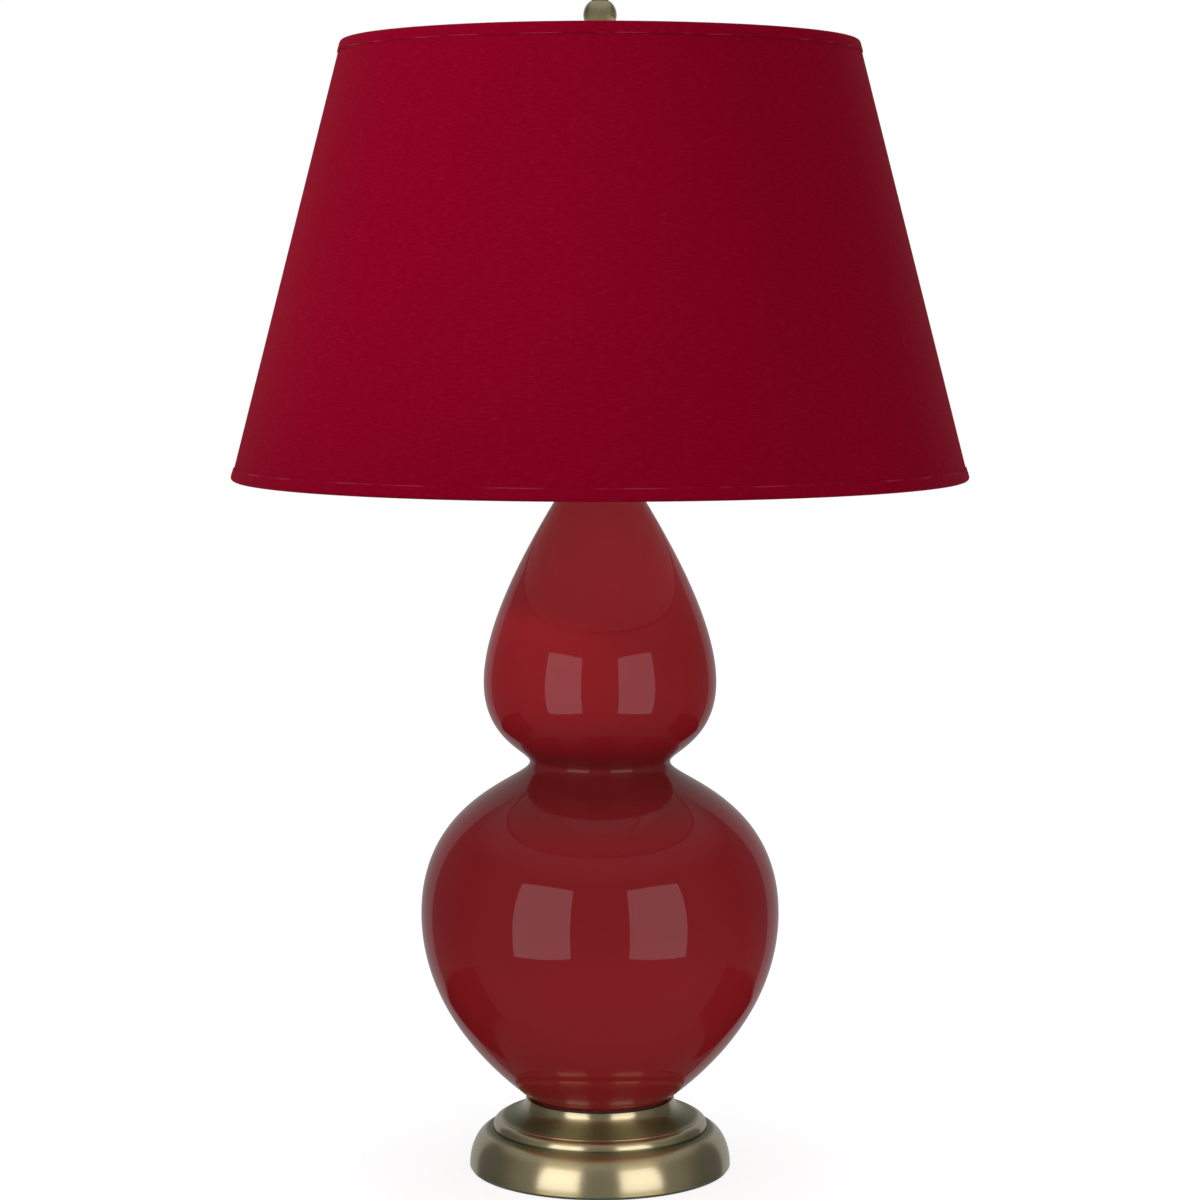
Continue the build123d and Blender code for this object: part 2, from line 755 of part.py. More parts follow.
core_radius = liner_radius - socket_liner_wall - socket_core_gap
socket_core = disc(core_radius, core_level, core_top)
socket_core -= disc(core_well_radius, core_top - core_well_depth, core_top)
flat_x = core_radius - core_flat_depth
for side in (-1, 1):
    slab = Box(2 * core_flat_depth, 2 * core_radius, socket_core_length - core_well_depth, align=UP)
    socket_core -= Pos(side * (flat_x + core_flat_depth), 0, core_level) * slab
    screw_hole = Cylinder(terminal_shank_radius + glue_line, 2 * terminal_shank_length)
    socket_core -= Pos(side * flat_x, 0, spindle_level) * Rot(0, 90, 0) * screw_hole
spindle_hole = spindle_radius + turning_fit
spindle_end = -(core_radius - spindle_socket_depth)
socket_core -= bar_along_y(spindle_hole, spindle_end, -core_radius, spindle_level)
spindle_slot = bar_along_y(
    spindle_radius + 2 * sliding_gap, -core_radius, -2 * core_radius, spindle_level
)
socket_liner -= spindle_slot
socket_shell -= spindle_slot

terminal = Cylinder(terminal_head_radius, terminal_head_length, align=UP)
terminal += Pos(0, 0, -terminal_shank_length) * Cylinder(
    terminal_shank_radius, terminal_shank_length, align=UP
)
slot_cut = Box(2 * terminal_head_radius, terminal_head_radius / 4, terminal_head_length)
terminal -= Pos(0, 0, terminal_head_length) * slot_cut
terminal_screws = Compound(
    [Pos(side * flat_x, 0, spindle_level) * Rot(0, 90 * side, 0) * terminal for side in (-1, 1)]
)

shell_bore = bulb_cap_radius + screw_fit
screw_shell_radius = shell_bore + screw_shell_wall
screw_shell = tube(screw_shell_radius, shell_bore, core_top, core_top + screw_shell_length)
screw_shell += tube(
    shell_bore + screw_shell_wall / 2,
    shell_bore - screw_shell_lip,
    core_top,
    core_top + screw_shell_wall,
)

# The centre contact is a sprung tongue that arches up to the bulb's tip.
bulb_foot = core_top + screw_shell_wall
well_floor = core_top - core_well_depth
tongue = ThreePointArc(
    (-contact_span / 2, well_floor),
    (0, bulb_foot - contact_thickness),
    (contact_span / 2, well_floor),
)
upper_tongue = ThreePointArc(
    (contact_span / 2, well_floor + contact_thickness),
    (0, bulb_foot),
    (-contact_span / 2, well_floor + contact_thickness),
)
tongue_ends = [
    Line(tongue @ 1, upper_tongue @ 0),
    Line(upper_tongue @ 1, tongue @ 0),
]
tongue_face = Plane.XZ * make_face(Curve() + [tongue, upper_tongue] + tongue_ends)
centre_contact = extrude(tongue_face, contact_width / 2, both=True)

# ---------------------------------------------------------------- Switch knob

knob_far = -(socket_shell_radius + spindle_reach)
knob_near = knob_far + knob_length
spindle_tip = knob_far + knob_length - knob_bore_depth
switch_spindle = bar_along_y(spindle_radius, spindle_end - nested_gap, spindle_tip, spindle_level)
knob_blank = Cylinder(knob_radius, knob_length, align=UP)
knob_end = knob_blank.edges().filter_by(GeomType.CIRCLE).sort_by(Axis.Z)[-1:]
knob_blank = fillet(knob_end, knob_radius / 5)
for flute in range(knob_flutes):
    spot = Rot(0, 0, flute * 360 / knob_flutes) * Pos(knob_radius + knob_flute_radius / 3, 0, 0)
    knob_blank -= spot * Cylinder(knob_flute_radius, 3 * knob_length)
knob_blank -= Cylinder(spindle_radius + glue_line, knob_bore_depth, align=UP)
switch_knob = Pos(0, knob_near, spindle_level) * Rot(90, 0, 0) * knob_blank

# ---------------------------------------------------------------- Bulb

tip_top = bulb_foot + bulb_tip_height
insulator_top = tip_top + bulb_insulator_height
cap_top = tip_top + bulb_cap_height
bulb_tip = disc(bulb_tip_radius, bulb_foot, tip_top)
tip_edge = bulb_tip.edges().filter_by(GeomType.CIRCLE).sort_by(Axis.Z)[:1]
bulb_tip = fillet(tip_edge, bulb_tip_height / 2)
bulb_insulator = turned(
    Polyline(
        (0, tip_top),
        (bulb_insulator_foot, tip_top),
        (bulb_cap_radius - bulb_cap_wall, insulator_top),
        (0, insulator_top),
        (0, tip_top),
    )
)
bulb_cap = tube(bulb_cap_radius, bulb_cap_radius - bulb_cap_wall, insulator_top, cap_top)

globe_centre = bulb_foot + bulb_length - bulb_globe_radius
glass_foot = cap_top - bulb_neck_lap


def glass_line(inset):
    """The bulb's pear shape, or its hollow when inset by the glass."""
    globe = bulb_globe_radius - inset
    neck = bulb_neck_radius - inset
    angle = radians(bulb_blend_angle)
    along = Vector(sin(angle), cos(angle))
    blend = Vector(globe * cos(angle), globe_centre - globe * sin(angle))
    return turned(
        Polyline((0, glass_foot + inset), (neck, glass_foot + inset), (neck, cap_top)),
        Bezier(
            (neck, cap_top),
            (neck, cap_top + bulb_neck_pull),
            blend - along * bulb_globe_pull,
            blend,
        ),
        ThreePointArc(blend, (globe, globe_centre), (0, globe_centre + globe)),
        Line((0, globe_centre + globe), (0, glass_foot + inset)),
    )


bulb_glass = glass_line(0) - glass_line(bulb_glass_wall)

# ---------------------------------------------------------------- Pieces

pieces = {
    "felt_pad": felt_pad,
    "base_shell": base_shell,
    "base_weight": base_weight,
    "cord_bushing": cord_bushing,
    "centre_rod": centre_rod,
    "rod_washer": rod_washer,
    "lock_washer": lock_washer,
    "rod_nut": rod_nut,
    "foot_seat": foot_seat,
    "gourd_body": gourd_body,
    "cap_seat": cap_seat,
    "vase_cap": vase_cap,
    "neck_riser": neck_riser,
    "harp_saddle": harp_saddle,
    "harp_wire": harp_wire,
    "harp_stud": harp_stud,
    "spider_hub": spider_hub,
    "spider_arms": spider_arms,
    "shade_top_ring": shade_top_ring,
    "shade_bottom_ring": shade_bottom_ring,
    "shade_fabric": shade_fabric,
    "shade_liner": shade_liner,
    "finial_knob": finial_knob,
    "finial_insert": finial_insert,
    "socket_cap": socket_cap,
    "socket_set_screw": socket_set_screw,
    "socket_shell": socket_shell,
    "socket_liner": socket_liner,
    "socket_core": socket_core,
    "terminal_screws": terminal_screws,
    "screw_shell": screw_shell,
    "centre_contact": centre_contact,
    "switch_spindle": switch_spindle,
    "switch_knob": switch_knob,
    "bulb_tip": bulb_tip,
    "bulb_insulator": bulb_insulator,
    "bulb_cap": bulb_cap,
    "bulb_glass": bulb_glass,
}
for node, piece in pieces.items():
    save(piece, node)
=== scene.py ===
import json
from math import atan2, cos, hypot, pi, radians, sin

import bpy
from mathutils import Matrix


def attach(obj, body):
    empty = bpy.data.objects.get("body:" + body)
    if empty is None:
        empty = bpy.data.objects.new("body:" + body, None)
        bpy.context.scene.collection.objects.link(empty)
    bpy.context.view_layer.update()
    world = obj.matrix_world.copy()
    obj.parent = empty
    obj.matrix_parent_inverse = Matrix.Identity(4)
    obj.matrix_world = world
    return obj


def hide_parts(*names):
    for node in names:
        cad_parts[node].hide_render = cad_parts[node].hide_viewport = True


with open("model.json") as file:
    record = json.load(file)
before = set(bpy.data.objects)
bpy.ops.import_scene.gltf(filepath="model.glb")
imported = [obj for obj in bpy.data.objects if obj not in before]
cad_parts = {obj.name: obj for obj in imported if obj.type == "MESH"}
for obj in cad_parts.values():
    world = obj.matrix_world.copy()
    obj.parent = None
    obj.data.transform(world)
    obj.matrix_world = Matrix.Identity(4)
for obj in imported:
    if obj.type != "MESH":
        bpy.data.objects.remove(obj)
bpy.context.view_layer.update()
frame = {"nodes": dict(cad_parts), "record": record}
cad = frame["nodes"]

# ---------------------------------------------------------------- Camera
# A long lens at the height of the shade, pitched down at the lamp's middle. The lamp fills the frame.
eye_distance, eye_height = 2.236, 0.6142
pitch_down = 5.48  # degrees
scene = bpy.context.scene
scene.view_settings.view_transform = "Standard"
bpy.ops.object.camera_add(
    location=(0, -eye_distance, eye_height), rotation=(radians(90 - pitch_down), 0, 0)
)
camera = bpy.context.object
camera.name = "camera"
camera.data.sensor_width = 36
camera.data.lens = 97.29
scene.camera = camera

# ---------------------------------------------------------------- Studio
# A white sweep behind, two upright softboxes close in front that show in gloss alone, a snooted lamp
# high on the left for the shade, and a weak fill in front. The camera sees white all round. Gloss sees
# the sweep and the ceiling dimmer, and dark walls low at both sides.
world = bpy.data.worlds.new("studio")
scene.world = world
world.use_nodes = True
sky = world.node_tree
sky.nodes.clear()


def link(tree, source, target):
    tree.links.new(source, target)


def feed(tree, sockets, values):
    """Link or set each input socket, as its value is a socket or a number."""
    for socket, value in zip(sockets, values):
        if hasattr(value, "is_linked"):
            link(tree, value, socket)
        else:
            socket.default_value = value


def math_node(tree, operation, *inputs):
    """A Math node fed with numbers or sockets, and its output socket."""
    node = tree.nodes.new("ShaderNodeMath")
    node.operation = operation
    feed(tree, node.inputs, inputs)
    return node.outputs[0]


def product(tree, first, second):
    return math_node(tree, "MULTIPLY", first, second)


def smooth_range(tree, value, low, high, to_low=0.0, to_high=1.0):
    """A smooth step from one value to another as the socket rises from low to high."""
    node = tree.nodes.new("ShaderNodeMapRange")
    node.interpolation_type = "SMOOTHSTEP"
    feed(tree, node.inputs, (value, low, high, to_low, to_high))
    return node.outputs["Result"]


def band(tree, value, rise, fall):
    """One between two smooth steps and nothing outside them. Each is where a step begins and ends."""
    return product(tree, smooth_range(tree, value, *rise), smooth_range(tree, value, *fall, 1.0, 0.0))


direction = sky.nodes.new("ShaderNodeTexCoord").outputs["Generated"]
apart = sky.nodes.new("ShaderNodeSeparateXYZ")
link(sky, direction, apart.inputs[0])
room_light = 0.66
front_light = smooth_range(sky, apart.outputs["Y"], -0.35, 0.25, 0.27, 0.13)
sweep_light = smooth_range(sky, apart.outputs["Y"], 0.70, 0.72, 0.0, 0.37)
ceiling_light = smooth_range(sky, apart.outputs["Z"], 0.35, 0.80, 0.0, 0.50)
mirrored = math_node(sky, "MAXIMUM", front_light, sweep_light)
mirrored = math_node(sky, "MAXIMUM", mirrored, ceiling_light)
# The dark walls show low on both sides of the lower belly, behind its broadest line.
wall_side = smooth_range(sky, math_node(sky, "ABSOLUTE", apart.outputs["X"]), 0.42, 0.47)
wall_depth = smooth_range(sky, apart.outputs["Y"], 0.01, 0.07)
wall_height = band(sky, apart.outputs["Z"], rise=(-0.74, -0.70), fall=(-0.43, -0.39))
wall = product(sky, product(sky, wall_side, wall_depth), wall_height)
mirrored = product(sky, mirrored, math_node(sky, "SUBTRACT", 1.0, wall))
rays = sky.nodes.new("ShaderNodeLightPath")
dimmed = math_node(sky, "SUBTRACT", mirrored, room_light)
level = math_node(sky, "MULTIPLY_ADD", rays.outputs["Is Glossy Ray"], dimmed, room_light)
seen = math_node(sky, "MAXIMUM", rays.outputs["Is Camera Ray"], rays.outputs["Is Transmission Ray"])
level = math_node(sky, "MAXIMUM", level, seen)
background = sky.nodes.new("ShaderNodeBackground")
background.inputs["Color"].default_value = (1, 1, 1, 1)
link(sky, level, background.inputs["Strength"])
link(sky, background.outputs[0], sky.nodes.new("ShaderNodeOutputWorld").inputs["Surface"])

softbox_distance, softbox_height, softbox_swing = 0.85, 0.280, radians(35.2)
for name, side, watts in (("softbox_left", -1, 3.1), ("softbox_right", 1, 2.85)):
    swing = softbox_swing * side
    spot = (softbox_distance * sin(swing), -softbox_distance * cos(swing), softbox_height)
    bpy.ops.object.light_add(type="AREA", location=spot, rotation=(radians(90), 0, swing))
    softbox = bpy.context.object
    softbox.name = name
    softbox.data.shape = "RECTANGLE"
    softbox.data.size = 0.546
    softbox.data.size_y = 0.74
    softbox.data.energy = watts
    softbox.data.color = (0.99, 0.95, 1.0)
    softbox.visible_camera = False
    softbox.visible_diffuse = False

bpy.ops.object.light_add(type="SPOT", location=(-1.6, -1.05, 1.35))
snoot = bpy.context.object
snoot.name = "snoot_left"
snoot.rotation_euler = (radians(71.6), 0, radians(-56.7))
snoot.data.spot_size = radians(25)
snoot.data.spot_blend = 0.6
snoot.data.shadow_soft_size = 0.15
snoot.data.energy = 72
snoot.visible_camera = False
snoot.visible_glossy = False

bpy.ops.object.light_add(
    type="AREA", location=(0.35, -2.5, 0.40), rotation=(radians(90), 0, radians(8))
)
fill = bpy.context.object
fill.name = "fill_front"
fill.data.shape = "SQUARE"
fill.data.size = 0.9
fill.data.energy = 9
fill.visible_camera = False
fill.visible_glossy = False

# The floor is white paper. Its glow lifts it to the sweep's white, and leaves the lamp's faint shadow.
paper_white, paper_glow, glow_share = 0.80, 1.62, 0.47
bpy.ops.mesh.primitive_plane_add(size=12, location=(0, 0, 0))
floor = bpy.context.object
floor.name = "floor"
paper = bpy.data.materials.new("floor_paper")
paper.use_nodes = True
tree = paper.node_tree
tree.nodes.clear()
matte = tree.nodes.new("ShaderNodeBsdfDiffuse")
matte.inputs["Color"].default_value = (paper_white, paper_white, paper_white, 1)
glow = tree.nodes.new("ShaderNodeEmission")
glow.inputs["Color"].default_value = (1, 1, 1, 1)
glow.inputs["Strength"].default_value = paper_glow
rays = tree.nodes.new("ShaderNodeLightPath")
seen = product(tree, rays.outputs["Is Camera Ray"], glow_share)
blend = tree.nodes.new("ShaderNodeMixShader")
link(tree, seen, blend.inputs[0])
link(tree, matte.outputs[0], blend.inputs[1])
link(tree, glow.outputs[0], blend.inputs[2])
link(tree, blend.outputs[0], tree.nodes.new("ShaderNodeOutputMaterial").inputs["Surface"])
floor.data.materials.append(paper)
floor.visible_glossy = False

# ---------------------------------------------------------------- Spun brass base
# One spinning of thin brass: an ovolo, a bead, a small step and a cove that sweeps up to the neck under
# the ceramic. Brushed round its axis and clear lacquered. Its cove and the hollow under its bead are
# darker and greener, partly antique patina and partly painted shade for a darker reflection there.
smooth_angle = radians(38)  # sharper edges than this stay crisp
brass_wall = 0.0007


def turned(name, runs, steps=256, fineness=16, begin=0.0, sweep=2 * pi):
    """A piece turned about the lamp's axis, all round or through a part of a turn. Each run is the two
    ends of a line, or a curve's ends with its two handles between, as radius and height in
    millimetres."""
    bpy.ops.curve.primitive_bezier_curve_add(location=(0, 0, 0))
    line = bpy.context.object
    line.name = name
    line.data.splines.clear()
    line.data.dimensions = "3D"
    for run in runs:
        points = [(r * cos(begin) / 1000, r * sin(begin) / 1000, z / 1000) for r, z in run]
        spline = line.data.splines.new("BEZIER")
        spline.bezier_points.add(1)
        spline.resolution_u = fineness if len(points) == 4 else 1
        start, end = spline.bezier_points
        start.co = points[0]
        end.co = points[-1]
        start.handle_left = points[0]
        start.handle_right = points[1] if len(points) == 4 else points[0]
        end.handle_left = points[-2] if len(points) == 4 else points[-1]
        end.handle_right = points[-1]
    bpy.ops.object.convert(target="MESH")
    piece = bpy.context.object
    bpy.ops.object.mode_set(mode="EDIT")
    bpy.ops.mesh.select_all(action="SELECT")
    bpy.ops.mesh.remove_doubles(threshold=1e-6)
    bpy.ops.mesh.spin(steps=steps, angle=sweep, center=(0, 0, 0), axis=(0, 0, 1))
    bpy.ops.mesh.select_all(action="SELECT")
    bpy.ops.mesh.remove_doubles(threshold=2e-6)
    bpy.ops.mesh.normals_make_consistent(inside=False)
    bpy.ops.object.mode_set(mode="OBJECT")
    bpy.ops.object.shade_smooth_by_angle(angle=smooth_angle)
    return piece


def corners(*points):
    """Straight runs from corner to corner."""
    return [points[k : k + 2] for k in range(len(points) - 1)]


def thickened(piece, wall, offset):
    """Give the active sheet its wall, inwards from it at offset -1 or to both sides at 0."""
    bpy.ops.object.modifier_add(type="SOLIDIFY")
    solid = piece.modifiers[-1]
    solid.thickness = wall
    solid.offset = offset
    bpy.ops.object.modifier_apply(modifier=solid.name)


def principled(name):
    """A new material with its node tree and its Principled shader."""
    made = bpy.data.materials.new(name)
    made.use_nodes = True
    return made, made.node_tree, made.node_tree.nodes["Principled BSDF"]


def noise(tree, vector, scale, detail=2.0, roughness=0.5):
    node = tree.nodes.new("ShaderNodeTexNoise")
    node.inputs["Scale"].default_value = scale
    node.inputs["Detail"].default_value = detail
    node.inputs["Roughness"].default_value = roughness
    link(tree, vector, node.inputs["Vector"])
    return node.outputs["Fac"]


def bump(tree, shader, height, strength, distance):
    node = tree.nodes.new("ShaderNodeBump")
    node.inputs["Strength"].default_value = strength
    node.inputs["Distance"].default_value = distance
    link(tree, height, node.inputs["Height"])
    link(tree, node.outputs["Normal"], shader.inputs["Normal"])


def mixed(tree, share, first, second):
    """A colour between two colours or colour sockets."""
    node = tree.nodes.new("ShaderNodeMix")
    node.data_type = "RGBA"
    link(tree, share, node.inputs["Factor"])
    colours = [c if hasattr(c, "is_linked") else (*c, 1) for c in (first, second)]
    colour_inputs, colour_output = node.inputs[6:8], node.outputs[2]  # the others are for numbers
    feed(tree, colour_inputs, colours)
    return colour_output


def polar(tree):
    """Sockets for the distance from the lamp's axis, the height, the turn about it, and the place."""
    place = tree.nodes.new("ShaderNodeTexCoord").outputs["Object"]
    parts = tree.nodes.new("ShaderNodeSeparateXYZ")
    link(tree, place, parts.inputs[0])
    x, y, z = parts.outputs
    squares = math_node(tree, "ADD", product(tree, x, x), product(tree, y, y))
    return math_node(tree, "SQRT", squares), z, math_node(tree, "ARCTAN2", y, x), place


def joined(tree, x, y, z):
    node = tree.nodes.new("ShaderNodeCombineXYZ")
    feed(tree, node.inputs, (x, y, z))
    return node.outputs[0]


antique_brass, tree, shader = principled("antique_brass")
out, high, turn, place = polar(tree)
strokes_per_metre, strokes_per_turn = 2600, 5
along = math_node(tree, "ADD", out, product(tree, high, 1.37))  # grows along walls and flats alike
stroke_place = joined(
    tree, product(tree, along, strokes_per_metre), product(tree, turn, strokes_per_turn), 0
)
strokes = noise(tree, stroke_place, 1.0, 3.0)
clouds = noise(tree, place, 38.0, 3.0)
tone = mixed(tree, strokes, (0.42, 0.345, 0.140), (0.555, 0.465, 0.215))
tone = mixed(tree, product(tree, clouds, 0.35), tone, (0.385, 0.305, 0.120))
# Patina and painted shade: the cove and the hollow under the bead turn darker, greener and rougher, with
# less lacquer, so the gourd's red reflection shows less in them.
in_cove = band(tree, high, rise=(0.0352, 0.0375), fall=(0.0385, 0.0475))
under_bead = band(tree, high, rise=(0.0262, 0.0284), fall=(0.0290, 0.0304))
patina_and_painted_shade = math_node(tree, "MAXIMUM", in_cove, under_bead)
tone = mixed(tree, product(tree, patina_and_painted_shade, 0.65), tone, (0.098, 0.128, 0.058))
link(tree, tone, shader.inputs["Base Color"])
rough = math_node(tree, "MULTIPLY_ADD", strokes, 0.10, 0.26)
link(tree, math_node(tree, "MULTIPLY_ADD", patina_and_painted_shade, 0.22, rough), shader.inputs["Roughness"])
shader.inputs["Metallic"].default_value = 1.0
shader.inputs["Anisotropic"].default_value = 0.92
shader.inputs["Anisotropic Rotation"].default_value = 0.25
link(tree, math_node(tree, "MULTIPLY_ADD", patina_and_painted_shade, -0.85, 1.0), shader.inputs["Coat Weight"])
shader.inputs["Coat IOR"].default_value = 2.0
shader.inputs["Coat Roughness"].default_value = 0.16
brushed_round = tree.nodes.new("ShaderNodeTangent")
brushed_round.direction_type = "RADIAL"
brushed_round.axis = "Z"
link(tree, brushed_round.outputs[0], shader.inputs["Tangent"])
bump(tree, shader, strokes, 0.06, 0.0002)

base = turned(
    "base_spinning",
    [
        *corners((60, 3.0), (84.6, 3.0), (84.6, 1.55), (90.9, 1.55), (91.4, 2.0)),
        [(91.4, 2.0), (91.4, 16.6), (84.1, 28.5), (75.2, 28.5)],
        *corners((75.2, 28.5), (74.5, 28.4), (74.4, 28.7), (74.9, 29.2)),
        [(74.9, 29.2), (75.2, 32.3), (73.0, 35.0), (70.15, 35.35)],
        *corners((70.15, 35.35), (70.0, 35.5), (70.0, 35.9)),
        [(70.0, 35.9), (60.0, 40.4), (52.0, 42.0), (52.0, 49.2)],
        [(52.0, 49.2), (52.0, 49.7), (51.7, 50.0), (51.2, 50.0)],
        *corners((51.2, 50.0), (36.0, 50.0)),
    ],
    fineness=24,
)
base.data.materials.append(antique_brass)
thickened(base, brass_wall, -1)

# The cord's inlet is punched through the back of the ovolo, for the bushing.
inlet_radius, inlet_height = 0.0049, 0.0082
bpy.ops.mesh.primitive_cylinder_add(
    vertices=48,
    radius=inlet_radius,
    depth=0.03,
    location=(0, 0.085, inlet_height),
    rotation=(radians(90), 0, 0),
)
punch = bpy.context.object
bpy.context.view_layer.objects.active = base
cut = base.modifiers.new("inlet", "BOOLEAN")
cut.object = punch
cut.operation = "DIFFERENCE"
cut.solver = "EXACT"
bpy.ops.object.modifier_apply(modifier=cut.name)
bpy.data.objects.remove(punch)
bpy.ops.object.select_all(action="DESELECT")
base.select_set(True)
bpy.ops.object.shade_smooth_by_angle(angle=smooth_angle)
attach(base, "lamp")
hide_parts("base_shell")

# ---------------------------------------------------------------- Felt under the base
# A disc of dark green wool felt, die-cut and glued under the brass, so its cut edge is soft and a
# little hairy and it stops just short of the metal.
felt = turned(
    "felt_pad_wool",
    [
        *corners((0, 0.02), (89.6, 0.02)),
        [(89.6, 0.02), (90.2, 0.1), (90.4, 0.4), (90.3, 0.8)],
        *corners((90.3, 0.8), (90.1, 1.48), (0, 1.48)),
    ],
    steps=160,
)
wool, tree, shader = principled("wool_felt")
place = tree.nodes.new("ShaderNodeTexCoord").outputs["Object"]
hairs = noise(tree, place, 1400.0, 6.0, 0.7)
link(tree, mixed(tree, hairs, (0.020, 0.045, 0.028), (0.075, 0.13, 0.085)), shader.inputs["Base Color"])
shader.inputs["Roughness"].default_value = 0.95
shader.inputs["Sheen Weight"].default_value = 0.4
bump(tree, shader, hairs, 0.7, 0.0006)
felt.data.materials.append(wool)
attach(felt, "lamp")
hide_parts("felt_pad")

# ---------------------------------------------------------------- Ceramic double gourd
# Slip-cast earthenware in one piece: a full lower belly, a pinched waist, an upper belly drawn up into
# a narrow neck. Dipped in a deep red gloss glaze with a cloudy tone. Its colour carries painted light:
# lighter on the upper belly, the shoulder and under the lower belly, and darker at the waist as painted
# shade and a painted dark reflection.
gourd = turned(
    "gourd_glazed",
    [
        *corners((41, 54), (41, 51.15), (41.4, 51.02), (49.6, 51.02), (50.3, 51.25)),
        [(50.3, 51.25), (102.45, 91.49), (124.75, 136.72), (124.75, 180.86)],
        [(124.75, 180.86), (124.75, 262.25), (48.91, 274.34), (48.91, 287.07)],
        [(48.91, 287.07), (48.91, 295.33), (80.8, 301.79), (80.8, 342.95)],
        [(80.8, 342.95), (80.8, 400.24), (19, 485.41), (19, 490)],
        *corners((19, 490), (19, 497.5), (18.5, 498), (14.4, 498), (14.0, 497.6), (14.0, 470)),
    ],
    steps=288,
    fineness=40,
)
red_glaze, tree, shader = principled("red_glaze")
_, high, _, place = polar(tree)
cloudy = noise(tree, place, 9.0, 2.0)
cloudy_tone_and_painted_light = mixed(tree, cloudy, (0.226, 0.0088, 0.0132), (0.256, 0.0112, 0.0160))
# Painted light: lighter under the lower belly, on the upper belly and on the shoulder.
under_belly = smooth_range(tree, high, 0.140, 0.205, 1.0, 0.0)
cloudy_tone_and_painted_light = mixed(tree, under_belly, cloudy_tone_and_painted_light, (0.288, 0.0135, 0.0165))
upper_belly = smooth_range(tree, high, 0.292, 0.345)
shoulder = smooth_range(tree, high, 0.36, 0.43)
cloudy_tone_and_painted_light = mixed(tree, upper_belly, cloudy_tone_and_painted_light, (0.290, 0.0115, 0.0160))
cloudy_tone_and_painted_light = mixed(tree, shoulder, cloudy_tone_and_painted_light, (0.365, 0.0190, 0.0270))
# Painted shade and a painted dark reflection: darker at the waist and just below it.
waist = band(tree, high, rise=(0.243, 0.276), fall=(0.288, 0.305))
glaze_with_painted_light = mixed(tree, product(tree, waist, 0.7), cloudy_tone_and_painted_light, (0.148, 0.0145, 0.0140))
link(tree, glaze_with_painted_light, shader.inputs["Base Color"])
shader.inputs["Roughness"].default_value = 0.035
shader.inputs["IOR"].default_value = 1.30
ripple = noise(tree, place, 34.0, 1.0)
bump(tree, shader, ripple, 0.10, 0.0006)
gourd.data.materials.append(red_glaze)
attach(gourd, "lamp")
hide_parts("gourd_body")

# ---------------------------------------------------------------- Vase cap and neck riser
# Two turned brass pieces strung on the rod: a shallow domed cap that hides the ceramic's lip, and a
# waisted riser that lifts the harp saddle clear of it. Same antique finish as the base.
vase_cap = turned(
    "vase_cap_brass",
    [
        *corners((19.3, 498.6), (19.3, 494.9), (22.7, 494.9), (23.0, 495.2), (23.0, 498.8)),
        [(23.0, 498.8), (23.0, 503.5), (16.0, 504.5), (12.0, 504.5)],
        *corners((12.0, 504.5), (5.5, 504.5)),
    ],
    steps=160,
)
riser = turned(
    "neck_riser_brass",
    [
        *corners((5.5, 504.55), (10.2, 504.55), (10.5, 504.85)),
        [(10.5, 504.85), (10.5, 507.2), (7.6, 508.0), (7.6, 509.75)],
        [(7.6, 509.75), (7.6, 511.6), (9.0, 512.6), (9.0, 514.7)],
        *corners((9.0, 514.7), (8.8, 514.98), (5.5, 514.98)),
    ],
    steps=120,
)
for piece, node in ((vase_cap, "vase_cap"), (riser, "neck_riser")):
    piece.data.materials.append(antique_brass)
    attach(piece, "lamp")
    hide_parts(node)

# ---------------------------------------------------------------- Shade's fabric
# Plain-woven deep red cotton, laminated on styrene and rolled over a wire at each rim. Each hem ends in
# a low ledge with a faint broken line of painted highlight, and the lap seam runs down the back.
cloth_thickness = 0.0005
hem_ledges = (0.7743, 0.4923)  # heights of the ledges
slit_turns = [radians(90 + 120 * k) for k in range(3)]  # where the spider's arms pass the upper hem
slit_half_angle, slit_foot, slit_outside = radians(0.8), 0.7, 0.1730
fabric = turned(
    "shade_fabric_woven",
    [
        *corners((171.55, 775.1), (172.35, 777.0)),
        [(172.35, 777.0), (171.6, 779.5), (172.6, 781.7), (174.4, 781.95)],
        [(174.4, 781.95), (176.1, 781.95), (177.0, 780.9), (177.4, 779.4)],
        *corners((177.4, 779.4), (178.75, 774.3), (178.7, 774.1), (178.1, 773.9), (250.75, 492.9)),
        *corners((250.75, 492.9), (251.45, 492.6), (251.6, 492.3)),
        [(251.6, 492.3), (252.3, 489.6), (253.6, 487.2), (253.2, 485.7)],
        [(253.2, 485.7), (252.8, 484.2), (250.2, 483.6), (248.9, 484.5)],
        *corners((248.9, 484.5), (247.9, 486.0), (248.5, 491.5)),
    ],
    steps=480,
    fineness=6,
)
bpy.ops.object.mode_set(mode="EDIT")
bpy.ops.mesh.select_all(action="DESELECT")
bpy.ops.object.mode_set(mode="OBJECT")
for face in fabric.data.polygons:
    middle = face.center
    angle = atan2(middle.y, middle.x)
    near = min(abs((angle - slit + pi) % (2 * pi) - pi) for slit in slit_turns)
    inside = middle.z > slit_foot and hypot(middle.x, middle.y) < slit_outside
    face.select = near < slit_half_angle and inside
bpy.ops.object.mode_set(mode="EDIT")
bpy.ops.mesh.select_mode(type="FACE")
bpy.ops.mesh.delete(type="FACE")
bpy.ops.object.mode_set(mode="OBJECT")
thickened(fabric, cloth_thickness, -1)

